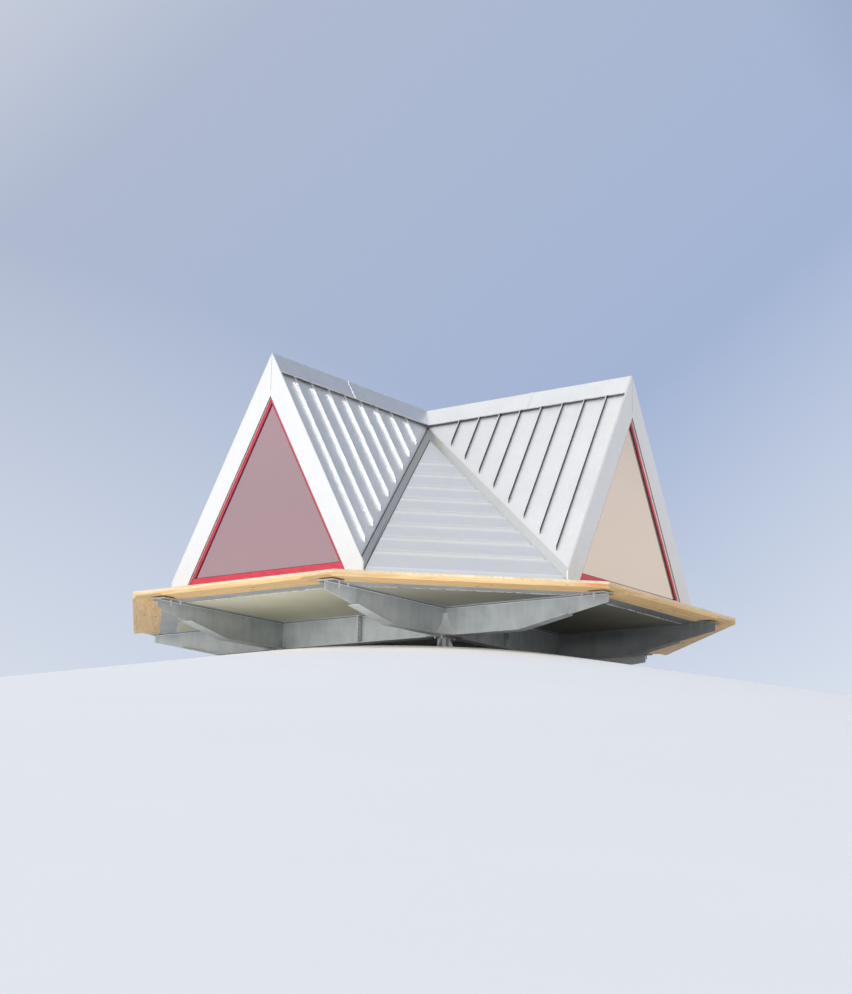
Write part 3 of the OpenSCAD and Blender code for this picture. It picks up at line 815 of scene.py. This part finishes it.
def add_ring(shape, outer, inner, back, front, turn, bars=(0, 1, 2)):
    """Mitred bars between two triangles: the lower one, the right one and the left one."""
    loops = []
    for outline, y in ((outer, back), (outer, front), (inner, front), (inner, back)):
        loops.append([shape.verts.new(turn @ Vector((p.x, y, p.y))) for p in outline])
    for k in range(4):
        here, there = loops[k], loops[(k + 1) % 4]
        for i in bars:
            j = (i + 1) % 3
            shape.faces.new((here[i], here[j], there[j], there[i]))
    if 0 not in bars:
        for i in (0, 1):
            shape.faces.new([loop[i] for loop in loops])


rubber = new_material("rubber", roughness=0.65)
chalk = noise_of(rubber, place_of(rubber), 30)
finish_of(rubber, ramp_of(rubber, chalk, [(0.3, 0.018), (0.7, 0.035)]))

bead_white = new_material("bead_white", roughness=0.5)
lumps = noise_of(bead_white, place_of(bead_white), 14, detail=4)
shade = ramp_of(bead_white, lumps, [(0.3, (0.74, 0.73, 0.69)), (0.7, (0.84, 0.83, 0.80))])
finish_of(bead_white, shade, None, lumps, 0.001)

frame_low, frame_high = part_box("window_frame_south")
frame_outer = (pane_high.z - frame_high.z) * math.cos(roof_slope)
window_face = frame_low.y
rebate = 0.0145
lip = 0.009
gasket_front = window_face + 0.006
bead = 0.004
bead_front = board_face + 0.013
joint = 0.003
joint_front = board_face + 0.001
sloping = (1, 2)
outer = triangle(frame_outer)
bead_inner = triangle(frame_outer + bead)
joint_inner = triangle(frame_outer + joint)
gaskets = bmesh.new()
joints = bmesh.new()
beads = bmesh.new()
for turn in quarter_turns():
    add_ring(gaskets, triangle(rebate), triangle(rebate + lip), pane_low.y, gasket_front, turn)
    add_ring(joints, outer, joint_inner, bead_front, joint_front, turn, sloping)
    add_ring(beads, outer, bead_inner, window_face, bead_front, turn, sloping)
make_piece("glazing_gaskets", gaskets, rubber)
make_piece("frame_joints", joints, dark_sealant_and_shade)
make_piece("frame_beads", beads, bead_white)


# Camera: the photographer's view, from below, looking up across the south and east gables.
# Its place, its way of looking and its focal length come from the fit of the deck and the ridges.

photo_height = 994
focal_pixels = 1809.65
camera_data = bpy.data.cameras.new("camera")
camera_data.sensor_width = 36.0
camera_data.lens = focal_pixels * camera_data.sensor_width / photo_height
camera_data.clip_end = 500
camera = bpy.data.objects.new("camera", camera_data)
bpy.context.scene.collection.objects.link(camera)
camera_place = Vector((18.06, -24.36, -3.709))
looking = Vector((-0.5813, 0.7848, 0.2156)).normalized()
roll = 0.0205
level_right = looking.cross(Vector((0, 0, 1))).normalized()
level_up = level_right.cross(looking)
right = level_right * math.cos(roll) + level_up * math.sin(roll)
up = right.cross(looking)
turn = Matrix((right, up, -looking)).transposed().to_4x4()
camera.matrix_world = Matrix.Translation(camera_place) @ turn
bpy.context.scene.camera = camera


# Studio: a soft sun from the south, soft fills in front and from the east, a strip light under the
# deck's south side, and an even pale world. Behind the object stands a pale blue backdrop that turns
# to white towards the north east. Its flags are darker and paler patches that the metal mirrors.

def add_lamp(name, kind, energy):
    data = bpy.data.lights.new(name, kind)
    data.energy = energy
    lamp = bpy.data.objects.new(name, data)
    bpy.context.scene.collection.objects.link(lamp)
    return lamp


def add_sun(name, source, energy, angle, colour):
    lamp = add_lamp(name, "SUN", energy)
    lamp.data.angle = math.radians(angle)
    lamp.data.color = colour
    lamp.rotation_mode = "QUATERNION"
    lamp.rotation_quaternion = Vector(source).to_track_quat("Z", "Y")


add_sun("sun", (0.06, -0.77, 0.63), 1.35, 3, (1.0, 0.985, 0.96))
add_sun("low_fill", (-0.34, -0.92, -0.15), 0.50, 46, (1.0, 0.98, 0.95))
add_sun("east_fill", (0.85, -0.15, 0.50), 0.28, 70, (1.0, 0.98, 0.95))

under_fill = add_lamp("under_fill", "AREA", 11.0)
under_fill.data.shape = "RECTANGLE"
under_fill.data.size = 5.5
under_fill.data.size_y = 0.30
under_fill.data.spread = math.radians(42)
under_fill.location = (1.2, -6.2, -0.10)
under_fill.rotation_euler = (math.radians(98), 0, 0)
under_fill.visible_camera = False
under_fill.visible_glossy = False

sky_light = [(0.0, (0.90, 0.90, 0.90)), (0.55, (0.86, 0.87, 0.89)), (0.70, (0.52, 0.56, 0.62)),
             (1.0, (0.34, 0.39, 0.48))]
dim_side = (0.75, 0.60, -0.28)
dim = [(0.80, 1.0), (0.92, (0.22, 0.22, 0.24))]
white_side = (0.55, 0.55, -0.90)
backdrop_shades = [(0.0, (0.90, 0.91, 0.92)), (0.05, (0.86, 0.87, 0.89)), (0.10, (0.62, 0.63, 0.67)),
                   (0.20, (0.84, 0.85, 0.87)), (0.34, (0.43, 0.49, 0.63)), (0.48, (0.37, 0.46, 0.66)),
                   (0.60, (0.75, 0.80, 0.88)), (0.74, (1.0, 0.98, 0.93))]
flags = [((0.58, -0.22, 0.78), 0.90, 0.97, (0.10, 0.14, 0.22)),
         ((0.13, 0.79, 0.61), 0.93, 0.98, (0.20, 0.25, 0.36)),
         ((-0.75, 0.45, -0.50), 0.82, 0.94, (0.80, 0.84, 0.90))]

world = bpy.data.worlds.new("studio")
bpy.context.scene.world = world
world.use_nodes = True
world.node_tree.nodes.clear()


def share_along(axis):
    """How far the view looks along an axis, from 0 behind to 1 ahead."""
    direction = add_node(world, "TexCoord").outputs["Generated"]
    along = work_out_vector(world, direction, "DOT_PRODUCT", Vector(axis).normalized())
    return add_node(world, "MapRange", {"Value": along, "From Min": -1.0, "From Max": 1.0}).outputs["Result"]


sky = ramp_of(world, share_along((0, 0, 1)), sky_light)
dimmed = mix_of(world, 1.0, sky, ramp_of(world, share_along(dim_side), dim), "MULTIPLY")
fill = add_node(world, "Background", {"Color": dimmed})
backdrop = ramp_of(world, share_along(white_side), backdrop_shades)
for side, start, stop, shade in flags:
    flag = ramp_of(world, share_along(side), [(start, 0.0), (stop, 1.0)])
    backdrop = mix_of(world, flag, backdrop, shade)
shown = add_node(world, "Background", {"Color": backdrop})
path = add_node(world, "LightPath").outputs
seen = work_out(world, path["Is Camera Ray"], "MAXIMUM", path["Is Glossy Ray"])
seen = work_out(world, seen, "MAXIMUM", path["Is Transmission Ray"])
mixed = add_node(world, "MixShader", {0: seen, 1: fill.outputs[0], 2: shown.outputs[0]})
add_node(world, "OutputWorld", {"Surface": mixed.outputs[0]})


# Studio floor: plain and pale, and no part of the cabin. The camera stands lower than the feet,
# so the floor is level under the cabin and then falls away evenly on all sides.

level_reach = 2.75
brow = 0.85
floor_fall = math.tan(math.radians(10.5))
floor_reach = 90.0
rings = 60
spokes = 96
floor_shape = bmesh.new()
loops = []
for ring in range(rings + 1):
    reach = level_reach + (floor_reach - level_reach) * (ring / rings) ** 3
    past = max(0.0, reach - level_reach)
    drop = floor_fall * (past * past / (2 * brow) if past < brow else past - brow / 2)
    angles = [math.tau * i / spokes for i in range(spokes)]
    loops.append([floor_shape.verts.new((reach * math.cos(a), reach * math.sin(a), -drop)) for a in angles])
floor_shape.faces.new(loops[0])
for here, there in zip(loops, loops[1:]):
    for i in range(spokes):
        j = (i + 1) % spokes
        floor_shape.faces.new((here[i], here[j], there[j], there[i]))
bmesh.ops.recalc_face_normals(floor_shape, faces=floor_shape.faces)
mesh = bpy.data.meshes.new("studio_floor")
floor_shape.to_mesh(mesh)
floor_shape.free()
for face in mesh.polygons:
    face.use_smooth = True

floor_pale = new_material("floor_pale", roughness=0.9)
clouds = noise_of(floor_pale, place_of(floor_pale), 0.25, detail=3)
finish_of(floor_pale, ramp_of(floor_pale, clouds, [(0.3, (0.90, 0.91, 0.92)), (0.7, (0.92, 0.92, 0.93))]))
mesh.materials.append(floor_pale)
studio_floor = bpy.data.objects.new("studio_floor", mesh)
bpy.context.scene.collection.objects.link(studio_floor)

bpy.context.scene.view_settings.view_transform = "Standard"
